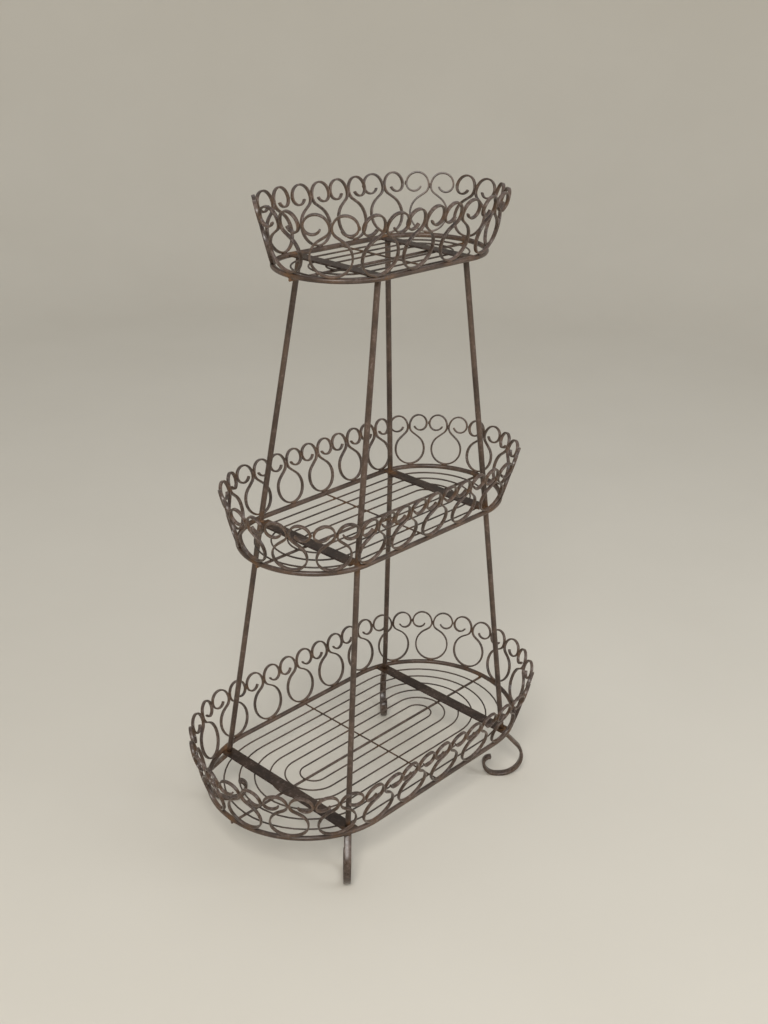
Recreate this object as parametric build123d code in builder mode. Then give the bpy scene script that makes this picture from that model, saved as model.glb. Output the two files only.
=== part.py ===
from build123d import *
import os
from collections import namedtuple
from math import acos, atan2, cos, degrees, hypot, pi, radians, sin, sqrt, tan

os.makedirs("parts", exist_ok=True)

# Bar stock, millimetres
leg_diameter = 10.0
ring_diameter = 9.0
floor_wire_diameter = 3.2
centre_rod_diameter = 5.0
crossbar_width = 25.0
crossbar_thickness = 3.0
scroll_bar_width = 6.0
scroll_bar_thickness = 3.2
foot_bar_width = 13.0
foot_bar_thickness = 6.0

# Heights of the three ring centre lines above the ground
bottom_height = 108.0
middle_height = 581.0
top_height = 1038.0

# Floor wires are one pitch apart across the tray, and the ring stands one pitch outside the last wire
wire_pitch = 25.4
wire_end_pitch = 28.5
bottom_wire_count = 6
middle_wire_count = 4
top_wire_count = 3

# Half of the straight side of each ring, and how far past it the crossbar and the legs stand
bottom_straight_half = 163.0
middle_straight_half = 150.0
top_straight_half = 103.0
bottom_leg_reach = 51.0
middle_leg_reach = 15.0
top_leg_reach = 1.0

# Distance from the ring's centre line in to the leg's, where the leg doesn't lie against the ring
bottom_leg_inset = 14.0
top_leg_inset = 15.0

# Scrolls of the galleries: a round loop, two straight strands up to a narrow neck, and two open curls.
# The loop turns in by so many degrees above its widest place.
bottom_scroll_count = 22
middle_scroll_count = 20
top_scroll_count = 14
bottom_loop_radius = 33.0
middle_loop_radius = 28.4
top_loop_radius = 32.0
bottom_loop_turn = 60.0
middle_loop_turn = 50.0
top_loop_turn = 55.0
neck_radius = 15.0
neck_gap = 0.4
curl_rise_radius = 24.0
curl_rise_turn = 40.0
curl_end_radius = 13.0
curl_end_turn = 160.0
gallery_lean = 15.5
end_gallery_turn = 20.0

# Feet: a straight run down and out, a large arc, a flat to stand on, and a curl back in
foot_bearing = 45.0
foot_arc_radius = 41.0
foot_flat = 6.0
foot_arc_offset = 3.0
foot_heel_radius = 27.0
foot_curl_radius = 12.0
foot_curl_turn = 100.0

# Clearances
leg_clearance = 0.3
scroll_clearance = 0.3

ring_radius = ring_diameter / 2
leg_radius = leg_diameter / 2
wire_radius = floor_wire_diameter / 2
rod_radius = centre_rod_diameter / 2

# Levels measured from the ring's centre line: the wires lie flush with the ring's underside,
# the crossbars and the cross wire lie on them, and the centre rod runs below them
wire_level = wire_radius - ring_radius
crossbar_base = wire_level + wire_radius
cross_wire_level = crossbar_base + wire_radius
rod_level = -ring_radius - rod_radius
cut_allowance = 20.0

# The first scroll stands over the middle of the front, or half a space beside it
scroll_at_middle = 0.0
scroll_beside_middle = 0.5

tier_fields = "name height wire_count straight_half leg_reach leg_inset scroll_count first_scroll loop_radius loop_turn"
Tier = namedtuple("Tier", tier_fields)
touching_inset = ring_radius + leg_radius + leg_clearance
bottom = Tier(
    "bottom",
    bottom_height,
    bottom_wire_count,
    bottom_straight_half,
    bottom_leg_reach,
    bottom_leg_inset,
    bottom_scroll_count,
    scroll_at_middle,
    bottom_loop_radius,
    bottom_loop_turn,
)
middle = Tier(
    "middle",
    middle_height,
    middle_wire_count,
    middle_straight_half,
    middle_leg_reach,
    touching_inset,
    middle_scroll_count,
    scroll_at_middle,
    middle_loop_radius,
    middle_loop_turn,
)
top = Tier(
    "top",
    top_height,
    top_wire_count,
    top_straight_half,
    top_leg_reach,
    top_leg_inset,
    top_scroll_count,
    scroll_beside_middle,
    top_loop_radius,
    top_loop_turn,
)
tiers = (bottom, middle, top)
corners = {"front_left": (-1, -1), "front_right": (1, -1), "back_left": (-1, 1), "back_right": (1, 1)}


def tray_radius(tier):
    """Radius of the ring's round ends, which is half the tray's width."""
    return (tier.wire_count + 1) * wire_pitch


def leg_spot(tier):
    """Distance of the leg's centre from the two middle planes, at the height of the ring."""
    x = tier.straight_half + tier.leg_reach
    return x, sqrt((tray_radius(tier) - tier.leg_inset) ** 2 - tier.leg_reach**2)


# Cross-sections of the bent bars. The many floor wires have eight flats in place of the full round.
with BuildSketch() as ring_section:
    Circle(ring_radius)
with BuildSketch() as wire_section:
    RegularPolygon(wire_radius, side_count=8, major_radius=False, rotation=22.5)


def race_track(straight_half, end_radius, section, level):
    """A bar bent to two straight sides and two half-round ends."""
    with BuildPart() as track:
        with BuildSketch(Plane.YZ.offset(straight_half)):
            with Locations((-end_radius, level)):
                add(section)
        revolve(axis=Axis((straight_half, 0, 0), (0, 0, 1)), revolution_arc=180)
        with BuildSketch(Plane.YZ):
            with Locations((-end_radius, level), (end_radius, level)):
                add(section)
        extrude(amount=straight_half)
        mirror(about=Plane.YZ)
    return track.part


def save(part, label):
    part.label = label
    export_step(part, f"parts/{label}.step")


def make_ring(tier):
    ring = race_track(tier.straight_half, tray_radius(tier), ring_section.sketch, tier.height)
    save(ring, f"{tier.name}_ring")


def make_floor_wires(tier):
    """Nested wires: each next one is a pitch wider, and a little more than a pitch longer."""
    level = tier.height + wire_level
    with BuildPart() as floor_wires:
        for number in range(1, tier.wire_count + 1):
            inward = tier.wire_count + 1 - number
            straight_half = tier.straight_half - inward * (wire_end_pitch - wire_pitch)
            add(race_track(straight_half, number * wire_pitch, wire_section.sketch, level))
    save(floor_wires.part, f"{tier.name}_floor_wires")


def make_centre_rod(tier):
    """The thicker rod below the wires, which ends under the ring at both ends of the tray."""
    reach = tier.straight_half + tray_radius(tier) + rod_radius
    with BuildPart() as centre_rod:
        with BuildSketch(Plane.YZ.offset(-reach)):
            with Locations((0, tier.height + rod_level)):
                Circle(rod_radius)
        extrude(amount=2 * reach)
    save(centre_rod.part, f"{tier.name}_centre_rod")


def make_cross_wire(tier):
    """The wire across the middle of the floor, on top of the nested wires and between the ring's sides."""
    reach = tray_radius(tier) - ring_radius
    with BuildPart() as cross_wire:
        with BuildSketch(Plane.XZ.offset(-reach)):
            with Locations((0, tier.height + cross_wire_level)):
                Circle(wire_radius)
        extrude(amount=2 * reach)
    save(cross_wire.part, f"{tier.name}_cross_wire")


def make_crossbars(tier):
    """Flat bars across the tray. They meet the ring, but at the middle tier the legs are in between."""
    leg_x, leg_y = leg_spot(tier)
    base = Plane.XY.offset(tier.height + crossbar_base)
    for side, sign in (("left", -1), ("right", 1)):
        with BuildPart() as crossbar:
            with BuildSketch(base):
                with Locations((sign * leg_x, 0)):
                    Rectangle(crossbar_width, 2 * tray_radius(tier))
                with Locations((sign * tier.straight_half, 0)):
                    Circle(tray_radius(tier) - ring_radius, mode=Mode.INTERSECT)
                if tier is middle:
                    between_legs = 2 * (leg_y - leg_radius - leg_clearance)
                    with Locations((sign * leg_x, 0)):
                        Rectangle(crossbar_width, between_legs, mode=Mode.INTERSECT)
            extrude(amount=crossbar_thickness)
        save(crossbar.part, f"{tier.name}_crossbar_{side}")


def make_leg(corner):
    """A round bar from the bottom crossbar to the underside of the top one, bent a little at the middle ring."""
    x_sign, y_sign = corners[corner]
    points = [Vector(x_sign * leg_spot(t)[0], y_sign * leg_spot(t)[1], t.height) for t in tiers]
    foot_end = points[0] + (points[0] - points[1]).normalized() * cut_allowance
    head_end = points[2] + (points[2] - points[1]).normalized() * cut_allowance
    with BuildPart() as leg:
        with BuildLine():
            Polyline(foot_end, points[1], head_end)
        with BuildSketch(Plane(foot_end, z_dir=points[1] - foot_end)):
            Circle(leg_radius)
        sweep(transition=Transition.RIGHT)
        split(bisect_by=Plane.XY.offset(bottom.height + crossbar_base + crossbar_thickness), keep=Keep.TOP)
        split(bisect_by=Plane.XY.offset(top.height + crossbar_base), keep=Keep.BOTTOM)
    save(leg.part, f"leg_{corner}")


def make_foot(corner):
    """A scroll of flat bar under the end of the bottom crossbar, standing on its short flat."""
    x_sign, y_sign = corners[corner]
    leg_x, leg_y = leg_spot(bottom)
    outward = Vector(x_sign * cos(radians(foot_bearing)), y_sign * sin(radians(foot_bearing)), 0)
    side_plane = Plane((x_sign * leg_x, y_sign * leg_y, 0), x_dir=outward, z_dir=outward.cross(Vector(0, 0, 1)))
    head = bottom.height + crossbar_base
    ground = foot_bar_thickness / 2
    arc_centre = (foot_arc_offset, ground + foot_arc_radius)
    heel_centre = (foot_arc_offset - foot_flat, ground + foot_heel_radius)
    curl_centre = (heel_centre[0] - foot_heel_radius + foot_curl_radius, heel_centre[1])

    # The straight run starts at the leg's own axis and meets the large arc at a tangent
    head_direction = atan2(head - arc_centre[1], -arc_centre[0])
    head_distance = hypot(head - arc_centre[1], arc_centre[0])
    meeting_angle = head_direction - acos(foot_arc_radius / head_distance)
    meeting_point = (
        arc_centre[0] + foot_arc_radius * cos(meeting_angle),
        arc_centre[1] + foot_arc_radius * sin(meeting_angle),
    )
    run_slope = (head - meeting_point[1]) / meeting_point[0]
    with BuildPart() as foot:
        with BuildSketch(side_plane):
            with BuildLine():
                Line((-cut_allowance, head + run_slope * cut_allowance), meeting_point)
                CenterArc(arc_centre, foot_arc_radius, degrees(meeting_angle), -degrees(meeting_angle) - 90)
                Line((arc_centre[0], ground), (heel_centre[0], ground))
                CenterArc(heel_centre, foot_heel_radius, -90, -90)
                CenterArc(curl_centre, foot_curl_radius, 180, -foot_curl_turn)
            trace(line_width=foot_bar_thickness)
        extrude(amount=foot_bar_width / 2, both=True)
        split(bisect_by=Plane.XY.offset(head), keep=Keep.BOTTOM)
    save(foot.part, f"foot_{corner}")


# One scroll is drawn flat, its foot on the ring and its height up the leaning gallery
neck_line = (scroll_bar_thickness + neck_gap) / 2


def loop_height(tier):
    """Height of the loop's centre above the ring's."""
    return ring_radius + scroll_bar_thickness / 2 + tier.loop_radius


def neck_height(tier):
    """Height of the neck: each strand runs straight from the loop's arc to the neck's arc."""
    turn = radians(tier.loop_turn)
    strand_width = tier.loop_radius * cos(turn) - neck_line - neck_radius * (1 - cos(turn))
    return loop_height(tier) + (tier.loop_radius + neck_radius) * sin(turn) + strand_width / tan(turn)


def scroll_spacing(tier):
    """Scrolls are spaced evenly along the line where their curls meet, which the lean carries outward."""
    curl_line_radius = tray_radius(tier) + neck_height(tier) * sin(radians(gallery_lean))
    return (4 * tier.straight_half + 2 * pi * curl_line_radius) / tier.scroll_count, curl_line_radius


def make_scroll(tier):
    """One scroll of the gallery: half of it is drawn and mirrored."""
    half_width = (scroll_spacing(tier)[0] - scroll_clearance - scroll_bar_thickness) / 2
    rise = radians(curl_rise_turn)
    curl_radius = (half_width - neck_line - curl_rise_radius * (1 - cos(rise))) / (1 + cos(rise))
    neck = neck_height(tier)
    curl_centre = (half_width - curl_radius, neck + (curl_rise_radius - curl_radius) * sin(rise))
    with BuildPart() as scroll:
        with BuildSketch():
            with BuildLine():
                loop = CenterArc((0, loop_height(tier)), tier.loop_radius, -90, 90 + tier.loop_turn)
                bend = CenterArc((neck_line + neck_radius, neck), neck_radius, 180 + tier.loop_turn, -tier.loop_turn)
                Line(loop @ 1, bend @ 0)
                CenterArc((neck_line + curl_rise_radius, neck), curl_rise_radius, 180, -curl_rise_turn)
                CenterArc(curl_centre, curl_radius, 180 - curl_rise_turn, curl_rise_turn - 180)
                CenterArc((half_width - curl_end_radius, curl_centre[1]), curl_end_radius, 0, -curl_end_turn)
            trace(line_width=scroll_bar_thickness)
        extrude(amount=scroll_bar_width / 2, both=True)
        mirror(about=Plane.YZ)
    return scroll.part


def scroll_planes(tier):
    """The plane of each scroll, by the side of the tray, counted from the middle of the front."""
    spacing, curl_line_radius = scroll_spacing(tier)
    side_length = 2 * tier.straight_half
    half_round = side_length + pi * curl_line_radius
    lean = radians(gallery_lean)
    sides = {"front": [], "right": [], "back": [], "left": []}
    for number in range(tier.scroll_count):
        half, along = divmod((number + tier.first_scroll) * spacing + tier.straight_half, half_round)
        facing = 1 if half % 2 == 0 else -1
        turn = max(0, along - side_length) / curl_line_radius
        outward = Vector(sin(turn), -cos(turn), 0) * facing
        centre_x = (min(along, side_length) - tier.straight_half) * facing
        centre = Vector(centre_x, 0, tier.height)
        up = outward * sin(lean) + Vector(0, 0, cos(lean))
        along_ring = Vector(0, 0, 1).cross(outward)
        plane = Plane(centre + outward * tray_radius(tier), x_dir=along_ring, z_dir=along_ring.cross(up))
        if abs(outward.X) > sin(radians(end_gallery_turn)):
            sides["right" if outward.X > 0 else "left"].append(plane)
        else:
            sides["front" if outward.Y < 0 else "back"].append(plane)
    return sides


def make_gallery(tier):
    scroll = make_scroll(tier)
    for side, planes in scroll_planes(tier).items():
        with BuildPart() as gallery:
            with Locations(*planes):
                add(scroll)
        save(gallery.part, f"{tier.name}_gallery_{side}")


for tier in tiers:
    make_ring(tier)
    make_floor_wires(tier)
    make_centre_rod(tier)
    make_cross_wire(tier)
    make_crossbars(tier)
    make_gallery(tier)
for corner in corners:
    make_leg(corner)
    make_foot(corner)
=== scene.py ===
import math

import bmesh
import bpy
from mathutils import Matrix, Vector, kdtree, noise


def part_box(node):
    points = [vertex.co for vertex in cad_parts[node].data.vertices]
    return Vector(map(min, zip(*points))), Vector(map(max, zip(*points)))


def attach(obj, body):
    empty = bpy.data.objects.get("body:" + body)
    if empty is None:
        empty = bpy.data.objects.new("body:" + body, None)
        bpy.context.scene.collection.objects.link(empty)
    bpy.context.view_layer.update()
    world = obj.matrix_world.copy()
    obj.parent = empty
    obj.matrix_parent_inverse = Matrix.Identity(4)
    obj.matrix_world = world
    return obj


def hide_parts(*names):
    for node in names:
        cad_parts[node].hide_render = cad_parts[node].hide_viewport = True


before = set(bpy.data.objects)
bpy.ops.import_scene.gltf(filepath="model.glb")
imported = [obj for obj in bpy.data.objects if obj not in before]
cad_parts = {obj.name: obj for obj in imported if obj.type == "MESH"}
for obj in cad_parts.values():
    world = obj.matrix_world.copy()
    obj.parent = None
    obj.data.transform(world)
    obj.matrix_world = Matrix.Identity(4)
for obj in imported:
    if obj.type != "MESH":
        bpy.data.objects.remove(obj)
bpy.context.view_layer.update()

# How many wires and scrolls each tray has. All lengths below are metres and all angles degrees.
WIRE_COUNT = {"bottom": 6, "middle": 4, "top": 3}
SCROLL_COUNT = {"bottom": 22, "middle": 20, "top": 14}

# The scrolls of the galleries. The first one of a tray is so many spaces from the middle of the front.
FIRST_SCROLL = {"bottom": 0.0, "middle": 0.0, "top": 0.5}
LOOP_RADIUS = {"bottom": 0.033, "middle": 0.0284, "top": 0.032}
LOOP_TURN = {"bottom": 60.0, "middle": 50.0, "top": 55.0}
NECK_RADIUS = 0.015
NECK_GAP = 0.0004
RISE_RADIUS = 0.024
RISE_TURN = 40.0
CURL_END_RADIUS = 0.013
CURL_END_TURN = 160.0
STRAP_WIDTH = 0.006
STRAP_THICKNESS = 0.0032
SCROLL_CLEARANCE = 0.0003
GALLERY_LEAN = 15.5
END_GALLERY_TURN = 20.0

# Bars, legs and feet
WIRE_LENGTH_STEP = 0.0285
LEG_RADIUS = 0.005
LEG_CLEARANCE = 0.0003
LEG_REACH = {"bottom": 0.051, "middle": 0.015, "top": 0.001}
LEG_INSET = {"bottom": 0.014, "top": 0.015}
FOOT_BEARING = 45.0
FOOT_ARC_RADIUS = 0.041
FOOT_FLAT = 0.006
FOOT_ARC_OFFSET = 0.003
FOOT_HEEL_RADIUS = 0.027
FOOT_CURL_RADIUS = 0.012
FOOT_CURL_TURN = 100.0
FOOT_WIDTH = 0.013
FOOT_THICKNESS = 0.006

# How finely bars are divided: the longest step and the largest turn between sections, and a section's sides
SCROLL_STEP, SCROLL_STEP_TURN = 0.0042, 9.0
FOOT_STEP, FOOT_STEP_TURN = 0.005, 7.0
RING_STEP, RING_STEP_TURN, RING_SIDES = 0.012, 3.5, 16
WIRE_STEP, WIRE_STEP_TURN, WIRE_SIDES = 0.03, 7.5, 10
ROD_PARTS, ROD_SIDES = 60, 14
CROSS_WIRE_PARTS = 40
LEG_PARTS, LEG_SIDES = 48, 18
CROSSBAR_COLUMNS, CROSSBAR_ROWS = 9, 44

# How far the ends of bars are rounded over, and the radius of a flat bar's long edges
ROD_END, CROSS_WIRE_END, SCROLL_END, FOOT_END = 0.0008, 0.0004, 0.0009, 0.0012
CROSSBAR_CORNER, SCROLL_CORNER, FOOT_CORNER = 0.0006, 0.0008, 0.0013

# A rounded end narrows at a shoulder, so far in as a share of its depth, and again at its tip
SHOULDER_DEPTH, SHOULDER_SCALE, TIP_SCALE = 0.3, 0.86, 0.55

# How readily the paint wears: round bars, a crossbar's flat faces, the edges of flat bars, and weld beads
ROUND_WEAR, FACE_WEAR, EDGE_WEAR, BEAD_WEAR = 0.25, 0.2, 1.0, 0.35

# Paint surface: how far hand work and paint leave the surface uneven, and how far wear spreads from a weld
UNEVENNESS = 0.00012
UNEVEN_SCALE = 70.0
WEAR_REACH = 0.014
JOINT_RUST = 0.85
SCROLL_RUST = 0.30
CROSSING_RUST = 0.45
NEAREST_WELDS = 4

# Half-axes of the weld beads: along the ring, up and out for a scroll's, along X, Y and Z for the others
SEAT_BEAD = (0.0060, 0.0018, 0.0034)
NECK_BEAD = (0.0016, 0.0042, 0.0024)
CURL_BEAD = (0.0014, 0.0036, 0.0023)
LEG_RING_BEAD = (0.0052, 0.0022, 0.0050)
LEG_CROSSBAR_BEAD = (0.0060, 0.0024, 0.0024)
CROSSBAR_RING_BEAD = (0.0110, 0.0026, 0.0022)
ROD_RING_BEAD = (0.0032, 0.0042, 0.0016)
CROSSING_BEAD = (0.0024, 0.0023, 0.0011)
BEAD_UNEVENNESS, BEAD_UNEVEN_SCALE, BEAD_VARIETY = 0.22, 1.6, 310

# How far above the ring's centre line, or above its underside for the rod, some beads lie
LEG_CROSSBAR_RISE = 0.001
CROSSBAR_RING_RISE = 0.0012
ROD_RING_RISE = 0.0004

# The paint: sizes of its noises, how much darker its blotches are, and its finish
BLOTCH_SCALE, MOTTLE_SCALE, SPECK_SCALE, PATCH_SCALE = 22, 170, 900, 60
BLOTCH_SHADE = 0.55
RUST_ROUGHNESS = 0.85
COAT_SHARE, COAT_ROUGHNESS = 0.3, 0.25
SPECK_RELIEF, RELIEF_DEPTH = 0.45, 0.0004

# The studio's round wall
WALL_DISTANCE = 5.2
WALL_BEND = 1.8
WALL_HEIGHT = 3.4
WALL_BEND_STEPS = 16
WALL_SIDES = 96
FLOOR_DARK = (0.64, 0.60, 0.52, 1)
FLOOR_PALE = (0.68, 0.64, 0.56, 1)
FLOOR_CLOUD_SCALE = 2.2

# Camera of the photograph
CAMERA_PLACE = (-1.4825, -1.3643, 1.4866)
CAMERA_TURN = (65.912, -1.792, -47.014)
CAMERA_LENS = 44.09

UP = Vector((0, 0, 1))
WORLD_AXES = (Vector((1, 0, 0)), Vector((0, 1, 0)), UP)
CORNERS = {"front_left": (-1, -1), "front_right": (1, -1), "back_left": (-1, 1), "back_right": (1, 1)}


class Tier:
    """One tray, with its sizes read from the frame."""

    def __init__(self, name):
        low, high = (Vector(corner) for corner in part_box(f"{name}_ring"))
        wire_low, wire_high = (Vector(corner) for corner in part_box(f"{name}_floor_wires"))
        rod_low, rod_high = (Vector(corner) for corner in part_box(f"{name}_centre_rod"))
        self.name = name
        self.bar_radius = (high.z - low.z) / 2
        self.level = (high.z + low.z) / 2
        self.radius = high.y - self.bar_radius
        self.straight_half = high.x - high.y
        self.wires = WIRE_COUNT[name]
        self.scrolls = SCROLL_COUNT[name]
        self.pitch = self.radius / (self.wires + 1)
        self.wire_radius = (wire_high.z - wire_low.z) / 2
        self.wire_level = (wire_high.z + wire_low.z) / 2
        self.rod_radius = (rod_high.z - rod_low.z) / 2
        self.rod_level = (rod_high.z + rod_low.z) / 2
        self.rod_reach = rod_high.x


tiers = [Tier(name) for name in ("bottom", "middle", "top")]
bottom, middle, top = tiers


def leg_spot(tier):
    """The leg's distance from the two middle planes at the height of a ring."""
    reach = LEG_REACH[tier.name]
    inset = LEG_INSET.get(tier.name, tier.bar_radius + LEG_RADIUS + LEG_CLEARANCE)
    return tier.straight_half + reach, math.sqrt((tier.radius - inset) ** 2 - reach**2)


# Outlines: a walk over straights and arcs, kept as (x, y, heading)


def walk(x, y, heading, moves, step, most_turn=8.0):
    """Points along a chain of moves, (length,) for a straight and (radius, turn) for an arc to the left."""
    stations = [(x, y, heading)]
    for move in moves:
        if len(move) == 1:
            length = move[0]
            count = max(1, math.ceil(length / step))
            for _ in range(count):
                x += math.cos(math.radians(heading)) * length / count
                y += math.sin(math.radians(heading)) * length / count
                stations.append((x, y, heading))
            continue
        radius, turn = move
        count = max(2, math.ceil(abs(turn) / most_turn), math.ceil(radius * math.radians(abs(turn)) / step))
        chord = 2 * radius * math.sin(math.radians(abs(turn)) / count / 2)
        for _ in range(count):
            middle_heading = math.radians(heading + turn / count / 2)
            x += math.cos(middle_heading) * chord
            y += math.sin(middle_heading) * chord
            heading += turn / count
            stations.append((x, y, heading))
    return stations


def circle_profile(radius, sides):
    """(across, up, wear) of each point of a round section."""
    turn = 2 * math.pi / sides
    return [(radius * math.cos(turn * i), radius * math.sin(turn * i), ROUND_WEAR) for i in range(sides)]


def strap_profile(thickness, width, corner):
    """A flat bar's section with rounded corners, whose edges wear first."""
    points = []
    for quarter, (sx, sy) in enumerate(((1, 1), (-1, 1), (-1, -1), (1, -1))):
        for part in range(3):
            angle = math.radians(90 * quarter + 45 * part)
            x = sx * (thickness / 2 - corner) + corner * math.cos(angle)
            y = sy * (width / 2 - corner) + corner * math.sin(angle)
            points.append((x, y, EDGE_WEAR))
    return points


class Builder:
    """One piece in the making: a mesh with an edge value on each vertex."""

    def __init__(self):
        self.mesh = bmesh.new()
        self.edge = self.mesh.verts.layers.float.new("edge_wear")

    def vertex(self, place, outward, edge):
        """A vertex, let in a little by the unevenness of the surface, so that nothing grows past its size."""
        depth = UNEVENNESS * (0.5 + 0.5 * noise.noise(place * UNEVEN_SCALE))
        made = self.mesh.verts.new(place - outward * depth)
        made[self.edge] = edge
        return made

    def sweep(self, stations, profile, closed=False, end_depth=0.0):
        """Skins a section along stations of (centre, across, up). Open ends are rounded over end_depth."""
        rings = []
        ordered = [(centre, across, upward, 1.0) for centre, across, upward in stations]
        if not closed and end_depth:
            first, last = stations[0], stations[-1]
            start_out = (stations[0][0] - stations[1][0]).normalized()
            end_out = (stations[-1][0] - stations[-2][0]).normalized()
            ordered[0] = (first[0] - start_out * end_depth, first[1], first[2], 1.0)
            ordered[-1] = (last[0] - end_out * end_depth, last[1], last[2], 1.0)
            shoulder = first[0] - start_out * end_depth * SHOULDER_DEPTH
            ordered.insert(0, (shoulder, first[1], first[2], SHOULDER_SCALE))
            ordered.insert(0, (first[0], first[1], first[2], TIP_SCALE))
            shoulder = last[0] - end_out * end_depth * SHOULDER_DEPTH
            ordered.append((shoulder, last[1], last[2], SHOULDER_SCALE))
            ordered.append((last[0], last[1], last[2], TIP_SCALE))
        for centre, across, upward, scale in ordered:
            ring = []
            for x, y, edge in profile:
                outward = across * x + upward * y
                ring.append(self.vertex(centre + outward * scale, outward.normalized(), edge))
            rings.append(ring)
        following = rings[1:] + (rings[:1] if closed else [])
        for ring, after in zip(rings, following):
            for i in range(len(ring)):
                j = (i + 1) % len(ring)
                self.mesh.faces.new((ring[i], ring[j], after[j], after[i]))
        if not closed:
            self.mesh.faces.new(list(reversed(rings[0])))
            self.mesh.faces.new(rings[-1])

    def bead(self, centre, axes, detail=2):
        """A weld bead: an uneven lump with three half-axes."""
        made = bmesh.ops.create_icosphere(self.mesh, subdivisions=detail, radius=1.0)
        for v in made["verts"]:
            lumps = noise.noise(v.co * BEAD_UNEVEN_SCALE + centre * BEAD_VARIETY)
            swell = 1 + BEAD_UNEVENNESS * lumps
            x, y, z = v.co * swell
            v.co = centre + axes[0] * x + axes[1] * y + axes[2] * z
            v[self.edge] = BEAD_WEAR

    def finish(self, name, material, slot, nodes=()):
        """Makes the object, with its wear near welds, gives it its body and hides the frame nodes that it
        replaces.
        """
        bmesh.ops.recalc_face_normals(self.mesh, faces=self.mesh.faces)
        for face in self.mesh.faces:
            face.smooth = True
        data = bpy.data.meshes.new(name)
        self.mesh.to_mesh(data)
        self.mesh.free()
        wear = data.attributes.new("weld_wear", "FLOAT", "POINT")
        for v in data.vertices:
            near = weld_tree.find_n(v.co, NEAREST_WELDS)
            worn = max(rust_of[i] * math.exp(-((d / WEAR_REACH) ** 2)) for _, i, d in near)
            wear.data[v.index].value = worn
        data.materials.append(material)
        piece = bpy.data.objects.new(name, data)
        bpy.context.collection.objects.link(piece)
        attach(piece, "root")
        if nodes:
            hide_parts(*nodes)
        return piece


# Where each piece lies


def level_stations(outline, level):
    """Stations of a bar bent in a level plane."""
    stations = []
    for x, y, heading in outline:
        angle = math.radians(heading)
        stations.append((Vector((x, y, level)), Vector((math.sin(angle), -math.cos(angle), 0)), UP))
    return stations


def race_track(straight_half, radius, level, step, most_turn):
    """A closed oval of two straights and two half rounds."""
    moves = [(straight_half,), (radius, 180), (2 * straight_half,), (radius, 180), (straight_half,)]
    return level_stations(walk(0, -radius, 0, moves, step, most_turn)[:-1], level)


def straight_stations(start, end, count, upward):
    """Stations of a straight bar."""
    across = (end - start).cross(upward).normalized()
    level_up = across.cross(end - start).normalized()
    return [(start.lerp(end, i / count), across, level_up) for i in range(count + 1)]


def scroll_sizes(tier):
    """Spacing of a tray's scrolls, the radius their curls meet on, and the shape of a loop up to its neck."""
    neck_line = (STRAP_THICKNESS + NECK_GAP) / 2
    loop_radius = LOOP_RADIUS[tier.name]
    turn = math.radians(LOOP_TURN[tier.name])
    loop_height = tier.bar_radius + STRAP_THICKNESS / 2 + loop_radius
    strand_width = loop_radius * math.cos(turn) - neck_line - NECK_RADIUS * (1 - math.cos(turn))
    neck_height = loop_height + (loop_radius + NECK_RADIUS) * math.sin(turn) + strand_width / math.tan(turn)
    curl_line = tier.radius + neck_height * math.sin(math.radians(GALLERY_LEAN))
    spacing = (4 * tier.straight_half + 2 * math.pi * curl_line) / tier.scrolls
    return spacing, curl_line, neck_height, strand_width / math.sin(turn)


def scroll_outline(tier):
    """Right half of a scroll from the bottom of its loop to the tip of its curl, and the curl's radius."""
    spacing, _, _, strand_length = scroll_sizes(tier)
    neck_line = (STRAP_THICKNESS + NECK_GAP) / 2
    half_width = (spacing - SCROLL_CLEARANCE - STRAP_THICKNESS) / 2
    rise = math.cos(math.radians(RISE_TURN))
    curl_radius = (half_width - neck_line - RISE_RADIUS * (1 - rise)) / (1 + rise)
    loop_turn = LOOP_TURN[tier.name]
    moves = [
        (LOOP_RADIUS[tier.name], 90 + loop_turn),
        (strand_length,),
        (NECK_RADIUS, -loop_turn),
        (RISE_RADIUS, -RISE_TURN),
        (curl_radius, RISE_TURN - 180),
        (CURL_END_RADIUS, -CURL_END_TURN),
    ]
    seat = tier.bar_radius + STRAP_THICKNESS / 2
    return walk(0, seat, 0, moves, SCROLL_STEP, SCROLL_STEP_TURN), curl_radius


def scroll_places(tier):
    """(side, matrix) of each scroll, whose own x runs along the ring and its y up the gallery."""
    spacing, curl_line, _, _ = scroll_sizes(tier)
    side_length = 2 * tier.straight_half
    first = FIRST_SCROLL[tier.name]
    half_round = side_length + math.pi * curl_line
    lean = math.radians(GALLERY_LEAN)
    places = []
    for number in range(tier.scrolls):
        half, along = divmod((number + first) * spacing + tier.straight_half, half_round)
        facing = 1 if half % 2 == 0 else -1
        turn = max(0, along - side_length) / curl_line
        outward = Vector((math.sin(turn), -math.cos(turn), 0)) * facing
        centre = Vector(((min(along, side_length) - tier.straight_half) * facing, 0, tier.level))
        upward = outward * math.sin(lean) + UP * math.cos(lean)
        along_ring = UP.cross(outward)
        normal = along_ring.cross(upward)
        matrix = Matrix((along_ring, upward, normal)).transposed().to_4x4()
        matrix.translation = centre + outward * tier.radius
        if abs(outward.x) > math.sin(math.radians(END_GALLERY_TURN)):
            side = "right" if outward.x > 0 else "left"
        else:
            side = "front" if outward.y < 0 else "back"
        places.append((side, matrix))
    return places


def scroll_stations(tier):
    """Stations of a whole scroll in its own plane, from the left tip to the right tip."""
    half, _ = scroll_outline(tier)
    whole = [(-x, y, -heading) for x, y, heading in reversed(half[1:])] + half
    stations = []
    for x, y, heading in whole:
        angle = math.radians(heading)
        stations.append((Vector((x, y, 0)), Vector((math.sin(angle), -math.cos(angle), 0)), UP))
    return stations


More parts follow.
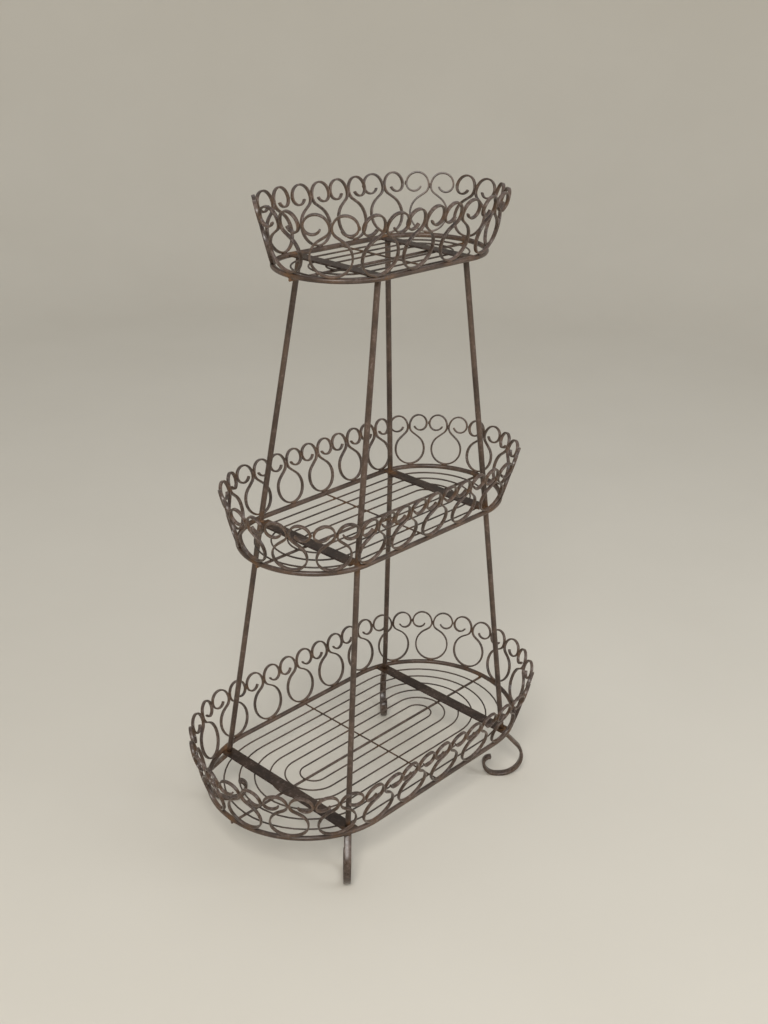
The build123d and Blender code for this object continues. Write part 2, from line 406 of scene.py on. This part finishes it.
def foot_stations(corner):
    """Stations of a foot's scroll in its upright plane, and the direction it points."""
    x_sign, y_sign = CORNERS[corner]
    leg_x, leg_y = leg_spot(bottom)
    bearing = math.radians(FOOT_BEARING)
    outward = Vector((x_sign * math.cos(bearing), y_sign * math.sin(bearing), 0))
    head = bottom.wire_level + bottom.wire_radius
    ground = FOOT_THICKNESS / 2
    centre_x, centre_y = FOOT_ARC_OFFSET, ground + FOOT_ARC_RADIUS
    direction = math.atan2(head - centre_y, -centre_x)
    distance = math.hypot(head - centre_y, centre_x)
    meeting = direction - math.acos(FOOT_ARC_RADIUS / distance)
    meeting_x = centre_x + FOOT_ARC_RADIUS * math.cos(meeting)
    meeting_y = centre_y + FOOT_ARC_RADIUS * math.sin(meeting)
    run = math.hypot(meeting_x, head - meeting_y)
    heading = math.degrees(math.atan2(meeting_y - head, meeting_x))
    moves = [
        (run,),
        (FOOT_ARC_RADIUS, -math.degrees(meeting) - 90),
        (FOOT_FLAT,),
        (FOOT_HEEL_RADIUS, -90),
        (FOOT_CURL_RADIUS, -FOOT_CURL_TURN),
    ]
    base = Vector((x_sign * leg_x, y_sign * leg_y, 0))
    stations = []
    for x, y, turned in walk(0, head, heading, moves, FOOT_STEP, FOOT_STEP_TURN):
        angle = math.radians(turned)
        across = outward * -math.sin(angle) + UP * math.cos(angle)
        stations.append((base + outward * x + UP * y, across, outward.cross(UP)))
    return stations


def leg_points(corner):
    """The leg's centre at its foot, at the middle ring and at its head."""
    x_sign, y_sign = CORNERS[corner]
    spots = [Vector((x_sign * leg_spot(t)[0], y_sign * leg_spot(t)[1], t.level)) for t in tiers]
    foot_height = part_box(f"leg_{corner}")[0][2]
    head_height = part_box(f"leg_{corner}")[1][2]
    foot = spots[0].lerp(spots[1], (foot_height - spots[0].z) / (spots[1].z - spots[0].z))
    head = spots[1].lerp(spots[2], (head_height - spots[1].z) / (spots[2].z - spots[1].z))
    return foot, spots[1], head


# Welds come first, because the paint of every piece is worn near them


def half_axes(sizes, directions=WORLD_AXES):
    """A bead's three half-axes as vectors."""
    return tuple(direction * size for direction, size in zip(directions, sizes))


def weld_spots():
    """(place, half-axes, rust) of every weld bead."""
    spots = []
    for tier in tiers:
        spacing, _, neck_height, _ = scroll_sizes(tier)
        outline, curl_radius = scroll_outline(tier)
        curl_height = max(y for _, y, _ in outline) - curl_radius
        for _, matrix in scroll_places(tier):
            directions = [matrix.to_3x3().col[i] for i in range(3)]
            seat = matrix @ Vector((0, tier.bar_radius, 0))
            neck = matrix @ Vector((0, neck_height, 0))
            meeting = matrix @ Vector((spacing / 2, curl_height, 0))
            spots.append((seat, half_axes(SEAT_BEAD, directions), SCROLL_RUST))
            spots.append((neck, half_axes(NECK_BEAD, directions), SCROLL_RUST))
            spots.append((meeting, half_axes(CURL_BEAD, directions), SCROLL_RUST))
        leg_x, leg_y = leg_spot(tier)
        bar_end = math.sqrt((tier.radius - tier.bar_radius) ** 2 - (leg_x - tier.straight_half) ** 2)
        for x_sign, y_sign in CORNERS.values():
            if tier is middle:
                place = Vector((x_sign * leg_x, y_sign * (leg_y + LEG_RADIUS), tier.level))
                spots.append((place, half_axes(LEG_RING_BEAD), JOINT_RUST))
                height = tier.level + LEG_CROSSBAR_RISE
                place = Vector((x_sign * leg_x, y_sign * (leg_y - LEG_RADIUS), height))
                spots.append((place, half_axes(LEG_CROSSBAR_BEAD), JOINT_RUST))
            else:
                place = Vector((x_sign * leg_x, y_sign * bar_end, tier.level + CROSSBAR_RING_RISE))
                spots.append((place, half_axes(CROSSBAR_RING_BEAD), JOINT_RUST))
        for x_sign in (-1, 1):
            height = tier.level - tier.bar_radius + ROD_RING_RISE
            place = Vector((x_sign * (tier.straight_half + tier.radius), 0, height))
            spots.append((place, half_axes(ROD_RING_BEAD), JOINT_RUST))
    return spots


def crossing_spots():
    """(place, half-axes, rust) of the small welds where the floor wires meet the cross wire."""
    spots = []
    for tier in tiers:
        height = tier.wire_level + tier.wire_radius
        for number in range(1, tier.wires + 1):
            for y_sign in (-1, 1):
                place = Vector((0, y_sign * number * tier.pitch, height))
                spots.append((place, half_axes(CROSSING_BEAD), CROSSING_RUST))
    return spots


welds = weld_spots()
crossings = crossing_spots()
weld_tree = kdtree.KDTree(len(welds) + len(crossings))
rust_of = []
for number, (place, _, rust) in enumerate(welds + crossings):
    weld_tree.insert(place, number)
    rust_of.append(rust)
weld_tree.balance()


# Paint


def paint(name, colour, pale, rust, rough_low, rough_high, bump, gloss):
    """Dark paint over steel: mottled, greyed in patches by a mauve-grey that is partly worn paint and partly
    a painted sheen, and rust-brown beside the welds.
    """
    material = bpy.data.materials.new(name)
    material.use_nodes = True
    nodes, links = material.node_tree.nodes, material.node_tree.links
    shader = nodes["Principled BSDF"]
    place = nodes.new("ShaderNodeTexCoord").outputs["Object"]

    def noise_at(scale, detail, roughness=0.55):
        texture = nodes.new("ShaderNodeTexNoise")
        texture.inputs["Scale"].default_value = scale
        texture.inputs["Detail"].default_value = detail
        texture.inputs["Roughness"].default_value = roughness
        links.new(place, texture.inputs["Vector"])
        return texture.outputs["Fac"]

    def spread(value, low, high, to_low=0.0, to_high=1.0):
        node = nodes.new("ShaderNodeMapRange")
        node.interpolation_type = "SMOOTHSTEP"
        for key, number in (("From Min", low), ("From Max", high), ("To Min", to_low), ("To Max", to_high)):
            node.inputs[key].default_value = number
        links.new(value, node.inputs["Value"])
        return node.outputs["Result"]

    def times(a, b):
        node = nodes.new("ShaderNodeMath")
        node.operation = "MULTIPLY"
        links.new(a, node.inputs[0])
        links.new(b, node.inputs[1])
        return node.outputs["Value"]

    def attribute(label):
        node = nodes.new("ShaderNodeAttribute")
        node.attribute_name = label
        return node.outputs["Fac"]

    def blend(base, over, amount):
        node = nodes.new("ShaderNodeMix")
        node.data_type = "RGBA"
        for socket, value in ((node.inputs["A"], base), (node.inputs["B"], over)):
            if isinstance(value, tuple):
                socket.default_value = (*value, 1)
            else:
                links.new(value, socket)
        links.new(amount, node.inputs["Factor"])
        return node.outputs["Result"]

    blotches = noise_at(BLOTCH_SCALE, detail=4)
    mottle = noise_at(MOTTLE_SCALE, detail=5, roughness=0.65)
    specks = noise_at(SPECK_SCALE, detail=3)
    patches = noise_at(PATCH_SCALE, detail=3)
    shaded = blend(tuple(c * BLOTCH_SHADE for c in colour), colour, spread(blotches, low=0.36, high=0.62))
    # Mauve-grey patches over the faces: partly worn paint, partly a painted sheen
    worn = times(
        spread(mottle, low=0.50, high=0.76, to_high=0.70),
        spread(blotches, low=0.38, high=0.62, to_low=0.25),
    )
    mottled = blend(shaded, pale, worn)
    edge_wear = times(attribute("edge_wear"), spread(mottle, low=0.48, high=0.68, to_high=0.45))
    edged = blend(mottled, pale, edge_wear)
    near_weld = attribute("weld_wear")
    rust_patches = times(
        spread(patches, low=0.38, high=0.58, to_low=0.1),
        spread(specks, low=0.36, high=0.60, to_low=0.35),
    )
    rust_amount = times(near_weld, rust_patches)
    rusted = blend(edged, rust, rust_amount)
    links.new(rusted, shader.inputs["Base Color"])
    roughness = nodes.new("ShaderNodeMix")
    roughness.inputs["B"].default_value = RUST_ROUGHNESS
    links.new(rust_amount, roughness.inputs["Factor"])
    paint_roughness = spread(mottle, low=0.35, high=0.7, to_low=rough_low, to_high=rough_high)
    links.new(paint_roughness, roughness.inputs["A"])
    links.new(roughness.outputs["Result"], shader.inputs["Roughness"])
    shader.inputs["Specular IOR Level"].default_value = gloss
    shader.inputs["Coat Weight"].default_value = gloss * COAT_SHARE
    shader.inputs["Coat Roughness"].default_value = COAT_ROUGHNESS

    height = nodes.new("ShaderNodeMath")
    height.operation = "MULTIPLY_ADD"
    height.inputs[1].default_value = SPECK_RELIEF
    links.new(specks, height.inputs[0])
    links.new(mottle, height.inputs[2])
    relief = nodes.new("ShaderNodeBump")
    relief.inputs["Strength"].default_value = bump
    relief.inputs["Distance"].default_value = RELIEF_DEPTH
    links.new(height.outputs["Value"], relief.inputs["Height"])
    links.new(relief.outputs["Normal"], shader.inputs["Normal"])
    return material


BRONZE = (0.084, 0.054, 0.038)
# The crossbars get a darker copy of the bronze: painted shade, as they lie under the trays
SHADED_BRONZE = (0.044, 0.028, 0.019)
WIRE_BRONZE = (0.070, 0.047, 0.033)
# The mauve-grey below is partly worn paint and partly a painted sheen
WORN_AND_SHEEN_GREY = (0.190, 0.142, 0.122)
RUST = (0.185, 0.082, 0.020)
bar_paint = paint(
    "bar_paint", BRONZE, WORN_AND_SHEEN_GREY, RUST, rough_low=0.30, rough_high=0.50, bump=0.35, gloss=0.42
)
wire_paint = paint(
    "wire_paint", WIRE_BRONZE, WORN_AND_SHEEN_GREY, RUST, rough_low=0.34, rough_high=0.54, bump=0.25, gloss=0.36
)
# The crossbars' paint, whose darker bronze is painted shade
shaded_strap_paint = paint(
    "shaded_strap_paint", SHADED_BRONZE, WORN_AND_SHEEN_GREY, RUST, rough_low=0.42, rough_high=0.62, bump=0.45, gloss=0.22
)
scroll_paint = paint(
    "scroll_paint", BRONZE, WORN_AND_SHEEN_GREY, RUST, rough_low=0.26, rough_high=0.46, bump=0.35, gloss=0.48
)


# Pieces


def make_ring(tier):
    ring = Builder()
    ring.sweep(
        race_track(tier.straight_half, tier.radius, tier.level, RING_STEP, RING_STEP_TURN),
        circle_profile(tier.bar_radius, RING_SIDES),
        closed=True,
    )
    ring.finish(f"{tier.name}_ring_bar", bar_paint, "bar", (f"{tier.name}_ring",))


def make_floor_wires(tier):
    wires = Builder()
    longer = WIRE_LENGTH_STEP - tier.pitch
    for number in range(1, tier.wires + 1):
        straight_half = tier.straight_half - (tier.wires + 1 - number) * longer
        radius = number * tier.pitch
        track = race_track(straight_half, radius, tier.wire_level, WIRE_STEP, WIRE_STEP_TURN)
        wires.sweep(track, circle_profile(tier.wire_radius, WIRE_SIDES), closed=True)
    wires.finish(f"{tier.name}_floor_wire_loops", wire_paint, "wire", (f"{tier.name}_floor_wires",))


def make_straight_bars(tier):
    """The centre rod below the floor and the cross wire above it."""
    rod = Builder()
    end = Vector((tier.rod_reach, 0, tier.rod_level))
    start = Vector((-tier.rod_reach, 0, tier.rod_level))
    stations = straight_stations(start, end, ROD_PARTS, UP)
    rod.sweep(stations, circle_profile(tier.rod_radius, ROD_SIDES), end_depth=ROD_END)
    rod.finish(f"{tier.name}_centre_rod_bar", bar_paint, "bar", (f"{tier.name}_centre_rod",))
    cross = Builder()
    level = tier.wire_level + 2 * tier.wire_radius
    reach = tier.radius - tier.bar_radius
    start, end = Vector((0, -reach, level)), Vector((0, reach, level))
    stations = straight_stations(start, end, CROSS_WIRE_PARTS, UP)
    cross.sweep(stations, circle_profile(tier.wire_radius, WIRE_SIDES), end_depth=CROSS_WIRE_END)
    cross.finish(f"{tier.name}_cross_wire_bar", wire_paint, "wire", (f"{tier.name}_cross_wire",))


def make_crossbar(tier, side):
    """A flat bar whose ends follow the inside of the ring where they meet it."""
    node = f"{tier.name}_crossbar_{side}"
    low, high = (Vector(corner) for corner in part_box(node))
    inside = tier.radius - tier.bar_radius
    ring_x = math.copysign(tier.straight_half, low.x)
    bar = Builder()
    centre_z = (low.z + high.z) / 2
    half = Vector((high.x - low.x, 0, high.z - low.z)) / 2
    corner = CROSSBAR_CORNER
    profile = []
    for i in range(CROSSBAR_COLUMNS):
        x = half.x - corner - 2 * (half.x - corner) * i / (CROSSBAR_COLUMNS - 1)
        profile.append((x, half.z, FACE_WEAR))
    profile.append((-half.x, half.z - corner, EDGE_WEAR))
    profile.append((-half.x, corner - half.z, EDGE_WEAR))
    for i in range(CROSSBAR_COLUMNS):
        x = corner - half.x + 2 * (half.x - corner) * i / (CROSSBAR_COLUMNS - 1)
        profile.append((x, -half.z, FACE_WEAR))
    profile.append((half.x, corner - half.z, EDGE_WEAR))
    profile.append((half.x, half.z - corner, EDGE_WEAR))
    rings = []
    for row in range(CROSSBAR_ROWS + 1):
        ring = []
        for x, z, edge in profile:
            world_x = (low.x + high.x) / 2 + x
            reach = high.y
            if tier is not middle:
                reach = min(reach, math.sqrt(inside**2 - (world_x - ring_x) ** 2))
            y = reach * (2 * row / CROSSBAR_ROWS - 1)
            outward = Vector((x / half.x, 0, z / half.z)).normalized()
            ring.append(bar.vertex(Vector((world_x, y, centre_z + z)), outward, edge))
        rings.append(ring)
    for ring, after in zip(rings, rings[1:]):
        for i in range(len(ring)):
            j = (i + 1) % len(ring)
            bar.mesh.faces.new((ring[i], ring[j], after[j], after[i]))
    bar.mesh.faces.new(rings[0])
    bar.mesh.faces.new(rings[-1])
    # The crossbar takes the darker paint, which is painted shade
    bar.finish(f"{node}_bar", shaded_strap_paint, "strap", (node,))


def make_gallery(tier):
    """The scrolls of one tray, one piece for each side."""
    stations = scroll_stations(tier)
    profile = strap_profile(STRAP_THICKNESS, STRAP_WIDTH, SCROLL_CORNER)
    sides = {side: Builder() for side in ("front", "back", "left", "right")}
    for side, matrix in scroll_places(tier):
        turn = matrix.to_3x3()
        placed = [(matrix @ centre, turn @ across, turn @ upward) for centre, across, upward in stations]
        sides[side].sweep(placed, profile, end_depth=SCROLL_END)
    for side, builder in sides.items():
        node = f"{tier.name}_gallery_{side}"
        builder.finish(f"{node}_scrolls", scroll_paint, "scroll", (node,))


def make_leg(corner):
    foot, bend, head = leg_points(corner)
    across = (bend - foot).normalized().cross(UP).normalized()
    stations = []
    for i in range(LEG_PARTS):
        centre = foot.lerp(bend, i / LEG_PARTS)
        stations.append((centre, across, across.cross(UP).normalized()))
    for i in range(LEG_PARTS + 1):
        centre = bend.lerp(head, i / LEG_PARTS)
        stations.append((centre, across, across.cross(UP).normalized()))
    leg = Builder()
    leg.sweep(stations, circle_profile(LEG_RADIUS, LEG_SIDES))
    leg.finish(f"leg_{corner}_bar", bar_paint, "bar", (f"leg_{corner}",))


def make_foot(corner):
    foot = Builder()
    profile = strap_profile(FOOT_THICKNESS, FOOT_WIDTH, FOOT_CORNER)
    foot.sweep(foot_stations(corner), profile, end_depth=FOOT_END)
    foot.finish(f"foot_{corner}_scroll", scroll_paint, "scroll", (f"foot_{corner}",))


def make_welds():
    beads = Builder()
    for place, axes, _ in welds:
        beads.bead(place, axes)
    for place, axes, _ in crossings:
        beads.bead(place, axes, detail=1)
    beads.finish("weld_beads", bar_paint, "bar")


for tier in tiers:
    make_ring(tier)
    make_floor_wires(tier)
    make_straight_bars(tier)
    make_gallery(tier)
    for side in ("left", "right"):
        make_crossbar(tier, side)
for corner in CORNERS:
    make_leg(corner)
    make_foot(corner)
make_welds()


# Floor, light and camera


def make_floor():
    """A pale round floor that curves up into a low pale wall all around the rack."""
    material = bpy.data.materials.new("studio_floor")
    material.use_nodes = True
    nodes, links = material.node_tree.nodes, material.node_tree.links
    shader = nodes["Principled BSDF"]
    shader.inputs["Roughness"].default_value = 0.85
    place = nodes.new("ShaderNodeTexCoord").outputs["Object"]
    cloud = nodes.new("ShaderNodeTexNoise")
    cloud.inputs["Scale"].default_value = FLOOR_CLOUD_SCALE
    cloud.inputs["Detail"].default_value = 3.0
    links.new(place, cloud.inputs["Vector"])
    tone = nodes.new("ShaderNodeMix")
    tone.data_type = "RGBA"
    tone.inputs["A"].default_value = FLOOR_DARK
    tone.inputs["B"].default_value = FLOOR_PALE
    links.new(cloud.outputs["Fac"], tone.inputs["Factor"])
    links.new(tone.outputs["Result"], shader.inputs["Base Color"])

    profile = [(0.0, 0.0), (WALL_DISTANCE - WALL_BEND, 0.0)]
    for step in range(1, WALL_BEND_STEPS + 1):
        angle = math.radians(90 * step / WALL_BEND_STEPS)
        reach = WALL_DISTANCE - WALL_BEND + WALL_BEND * math.sin(angle)
        profile.append((reach, WALL_BEND * (1 - math.cos(angle))))
    profile.append((WALL_DISTANCE, WALL_HEIGHT))
    mesh = bmesh.new()
    centre = mesh.verts.new((0, 0, 0))
    rows = []
    for reach, height in profile[1:]:
        turns = [2 * math.pi * side / WALL_SIDES for side in range(WALL_SIDES)]
        rows.append(
            [mesh.verts.new((reach * math.cos(turn), reach * math.sin(turn), height)) for turn in turns]
        )
    for i in range(WALL_SIDES):
        j = (i + 1) % WALL_SIDES
        mesh.faces.new((centre, rows[0][i], rows[0][j]))
        for row, after in zip(rows, rows[1:]):
            mesh.faces.new((row[i], after[i], after[j], row[j]))
    for face in mesh.faces:
        face.smooth = True
    data = bpy.data.meshes.new("studio_floor")
    mesh.to_mesh(data)
    mesh.free()
    data.materials.append(material)
    floor = bpy.data.objects.new("studio_floor", data)
    bpy.context.collection.objects.link(floor)


def area_light(name, place, target, size, power, colour):
    data = bpy.data.lights.new(name, "AREA")
    data.shape = "DISK"
    data.size = size
    data.energy = power
    data.color = colour
    lamp = bpy.data.objects.new(name, data)
    lamp.location = place
    lamp.rotation_mode = "QUATERNION"
    lamp.rotation_quaternion = (Vector(target) - Vector(place)).to_track_quat("-Z", "Y")
    bpy.context.collection.objects.link(lamp)


def make_light():
    world = bpy.data.worlds.new("studio")
    bpy.context.scene.world = world
    world.use_nodes = True
    background = world.node_tree.nodes["Background"]
    background.inputs["Color"].default_value = (0.93, 0.96, 1.0, 1)
    background.inputs["Strength"].default_value = 0.55
    target = (0, 0, 0.6)
    area_light("key", (-2.6, -2.0, 3.4), target, size=1.6, power=110, colour=(1.0, 0.97, 0.93))
    area_light("fill", (1.2, -3.2, 2.2), target, size=2.2, power=40, colour=(0.93, 0.96, 1.0))


def make_camera():
    data = bpy.data.cameras.new("photo_camera")
    data.lens = CAMERA_LENS
    data.sensor_width = 36.0
    camera = bpy.data.objects.new("photo_camera", data)
    camera.location = CAMERA_PLACE
    camera.rotation_euler = [math.radians(angle) for angle in CAMERA_TURN]
    bpy.context.collection.objects.link(camera)
    bpy.context.scene.camera = camera


make_floor()
make_light()
make_camera()
bpy.context.scene.view_settings.view_transform = "Standard"
